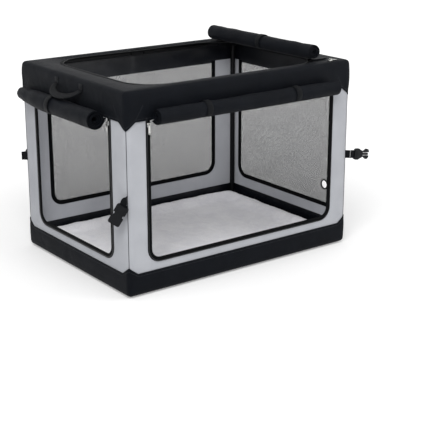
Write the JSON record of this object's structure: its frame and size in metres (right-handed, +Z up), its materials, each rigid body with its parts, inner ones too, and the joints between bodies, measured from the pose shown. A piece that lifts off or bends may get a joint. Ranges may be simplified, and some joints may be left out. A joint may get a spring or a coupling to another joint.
{
  "type": "soft folding pet crate",
  "caption": "Soft-sided folding pet crate: fold-flat tube frame with centre hubs, cloth cover, roll-up door flaps, mesh windows, plush mat.",
  "frame": {"origin": "centre of the floor's underside, where the crate stands on the ground", "axes": "+Z up, +X along the crate from the end with the doorway to the end with the mesh window, +Y from the front doorway to the rear wall"},
  "size_m": [0.9532, 0.6431, 0.6316],
  "materials": {
    "black_padded_oxford": "matt padded polyester oxford",
    "grey_oxford": "matt polyester oxford",
    "black_window_mesh": "warp-knitted polyester mesh in a cloth binding",
    "black_zip_tape": "woven tape with a nylon coil",
    "black_webbing": "woven webbing",
    "pale_plush": "short pile plush",
    "powder_coated_steel": "satin powder coat",
    "black_moulded_plastic": "fine moulded texture",
    "nickel_plated_zinc": "bright nickel plate"
  },
  "bodies": {
    "left_end": {"left_ring": "powder_coated_steel", "front_left_top_bracket": "black_moulded_plastic", "rear_left_top_bracket": "black_moulded_plastic", "front_left_bottom_bracket": "black_moulded_plastic", "rear_left_bottom_bracket": "black_moulded_plastic", "left_wall": "grey_oxford", "left_top_band": "black_padded_oxford", "left_bottom_band": "black_padded_oxford", "left_door_tape": "black_zip_tape", "left_jamb_tape": "black_zip_tape", "front_top_band": "black_padded_oxford", "rear_top_band": "black_padded_oxford", "floor_tray": "black_padded_oxford", "front_sill": "grey_oxford", "front_sill_tape": "black_zip_tape", "rear_wall": "grey_oxford", "rear_window": "black_window_mesh", "front_door_roll": "black_padded_oxford", "left_door_roll": "black_padded_oxford"},
    "right_end": {"right_ring": "powder_coated_steel", "front_right_top_bracket": "black_moulded_plastic", "rear_right_top_bracket": "black_moulded_plastic", "front_right_bottom_bracket": "black_moulded_plastic", "rear_right_bottom_bracket": "black_moulded_plastic", "right_wall": "grey_oxford", "right_top_band": "black_padded_oxford", "right_bottom_band": "black_padded_oxford", "right_jamb_tape": "black_zip_tape", "right_window": "black_window_mesh", "port_ring": "black_moulded_plastic", "roof_flap_roll": "black_padded_oxford", "roof_slider": "nickel_plated_zinc"},
    "bottom_left": {"front_bottom_left_rail": "powder_coated_steel", "rear_bottom_left_rail": "powder_coated_steel"},
    "bottom_right": {"front_bottom_right_rail": "powder_coated_steel", "rear_bottom_right_rail": "powder_coated_steel"},
    "bottom_hub": {"front_bottom_hub": "black_moulded_plastic", "rear_bottom_hub": "black_moulded_plastic", "mat": "pale_plush"},
    "top_left": {"front_top_left_rail": "powder_coated_steel", "rear_top_left_rail": "powder_coated_steel"},
    "top_right": {"front_top_right_rail": "powder_coated_steel", "rear_top_right_rail": "powder_coated_steel"},
    "top_hub": {"front_top_hub": "black_moulded_plastic", "rear_top_hub": "black_moulded_plastic"},
    "left_handle": {"left_handle": "black_webbing"},
    "front_left_strap": {"front_left_strap": "black_webbing", "front_left_buckle": "black_moulded_plastic"},
    "rear_left_strap": {"rear_left_strap": "black_webbing", "rear_left_buckle": "black_moulded_plastic"},
    "right_handle": {"right_handle": "black_webbing"},
    "front_right_strap": {"front_right_strap": "black_webbing", "front_right_buckle": "black_moulded_plastic"},
    "rear_right_strap": {"rear_right_strap": "black_webbing", "rear_right_buckle": "black_moulded_plastic"},
    "front_slider": {"front_slider": "nickel_plated_zinc"},
    "left_slider": {"left_slider": "nickel_plated_zinc"},
    "front_pull": {"front_pull": "nickel_plated_zinc"},
    "left_pull": {"left_pull": "nickel_plated_zinc"},
    "roof_pull": {"roof_pull": "nickel_plated_zinc"}
  },
  "joints": [
    {"name": "fold", "type": "hinge", "parent": "left_end", "child": "bottom_left", "pos_m": [-0.338, 0, 0.0128], "axis": [0, -1, 0], "range_deg": [0, 90], "deforming": ["front_top_band", "rear_top_band", "floor_tray", "front_sill", "front_sill_tape", "rear_wall", "rear_window", "mat", "front_door_roll"]},
    {"name": "bottom_left_hub_pin", "type": "hinge", "parent": "bottom_left", "child": "bottom_hub", "pos_m": [-0.013, 0, 0.0128], "axis": [0, 1, 0], "range_deg": [0, 90]},
    {"name": "bottom_right_hub_pin", "type": "hinge", "parent": "bottom_hub", "child": "bottom_right", "pos_m": [0.013, 0, 0.0128], "axis": [0, 1, 0], "range_deg": [0, 90]},
    {"name": "right_end_pivot", "type": "hinge", "parent": "bottom_right", "child": "right_end", "pos_m": [0.338, 0, 0.0128], "axis": [0, -1, 0], "range_deg": [0, 90]},
    {"name": "top_left_pivot", "type": "hinge", "parent": "left_end", "child": "top_left", "pos_m": [-0.338, 0, 0.5638], "axis": [0, 1, 0], "range_deg": [0, 90]},
    {"name": "top_left_hub_pin", "type": "hinge", "parent": "top_left", "child": "top_hub", "pos_m": [-0.013, 0, 0.5638], "axis": [0, -1, 0], "range_deg": [0, 90]},
    {"name": "top_right_pivot", "type": "hinge", "parent": "right_end", "child": "top_right", "pos_m": [0.338, 0, 0.5638], "axis": [0, -1, 0], "range_deg": [0, 90]},
    {"name": "left_handle_swing", "type": "hinge", "parent": "left_end", "child": "left_handle", "pos_m": [-0.4068, 0, 0.548], "axis": [0, 1, 0], "range_deg": [0, 80]},
    {"name": "right_handle_swing", "type": "hinge", "parent": "right_end", "child": "right_handle", "pos_m": [0.4068, 0, 0.548], "axis": [0, -1, 0], "range_deg": [0, 130]},
    {"name": "front_left_strap_swing", "type": "hinge", "parent": "left_end", "child": "front_left_strap", "pos_m": [-0.4115, -0.2965, 0.285], "axis": [0, 0, 1], "range_deg": [-45, 225]},
    {"name": "front_right_strap_swing", "type": "hinge", "parent": "right_end", "child": "front_right_strap", "pos_m": [0.4115, -0.2965, 0.285], "axis": [0, 0, 1], "range_deg": [-180, 90]},
    {"name": "rear_left_strap_swing", "type": "hinge", "parent": "left_end", "child": "rear_left_strap", "pos_m": [-0.4115, 0.2965, 0.285], "axis": [0, 0, 1], "range_deg": [0, 270]},
    {"name": "rear_right_strap_swing", "type": "hinge", "parent": "right_end", "child": "rear_right_strap", "pos_m": [0.4115, 0.2965, 0.285], "axis": [0, 0, 1], "range_deg": [-270, 0]},
    {"name": "front_zip_slide", "type": "slide", "parent": "left_end", "child": "front_slider", "axis": [0, 0, -1], "range_m": [0, 0.318]},
    {"name": "left_zip_slide", "type": "slide", "parent": "left_end", "child": "left_slider", "axis": [0, 0, -1], "range_m": [0, 0.343]},
    {"name": "front_pull_swing", "type": "hinge", "parent": "front_slider", "child": "front_pull", "pos_m": [-0.3323, -0.2959, 0.483], "axis": [-1, 0, 0], "range_deg": [-8, 170]},
    {"name": "left_pull_swing", "type": "hinge", "parent": "left_slider", "child": "left_pull", "pos_m": [-0.4109, -0.208, 0.483], "axis": [0, 1, 0], "range_deg": [-8, 170]},
    {"name": "roof_pull_swing", "type": "hinge", "parent": "right_end", "child": "roof_pull", "pos_m": [0.335, -0.272, 0.5859], "axis": [0, -1, 0], "range_deg": [0, 165]}
  ],
  "couplings": [
    {"joint": "bottom_left_hub_pin", "follows": "fold", "ratio": 1},
    {"joint": "bottom_right_hub_pin", "follows": "fold", "ratio": 1},
    {"joint": "right_end_pivot", "follows": "fold", "ratio": 1},
    {"joint": "top_left_pivot", "follows": "fold", "ratio": 1},
    {"joint": "top_left_hub_pin", "follows": "fold", "ratio": 1},
    {"joint": "top_right_pivot", "follows": "fold", "ratio": 1}
  ]
}
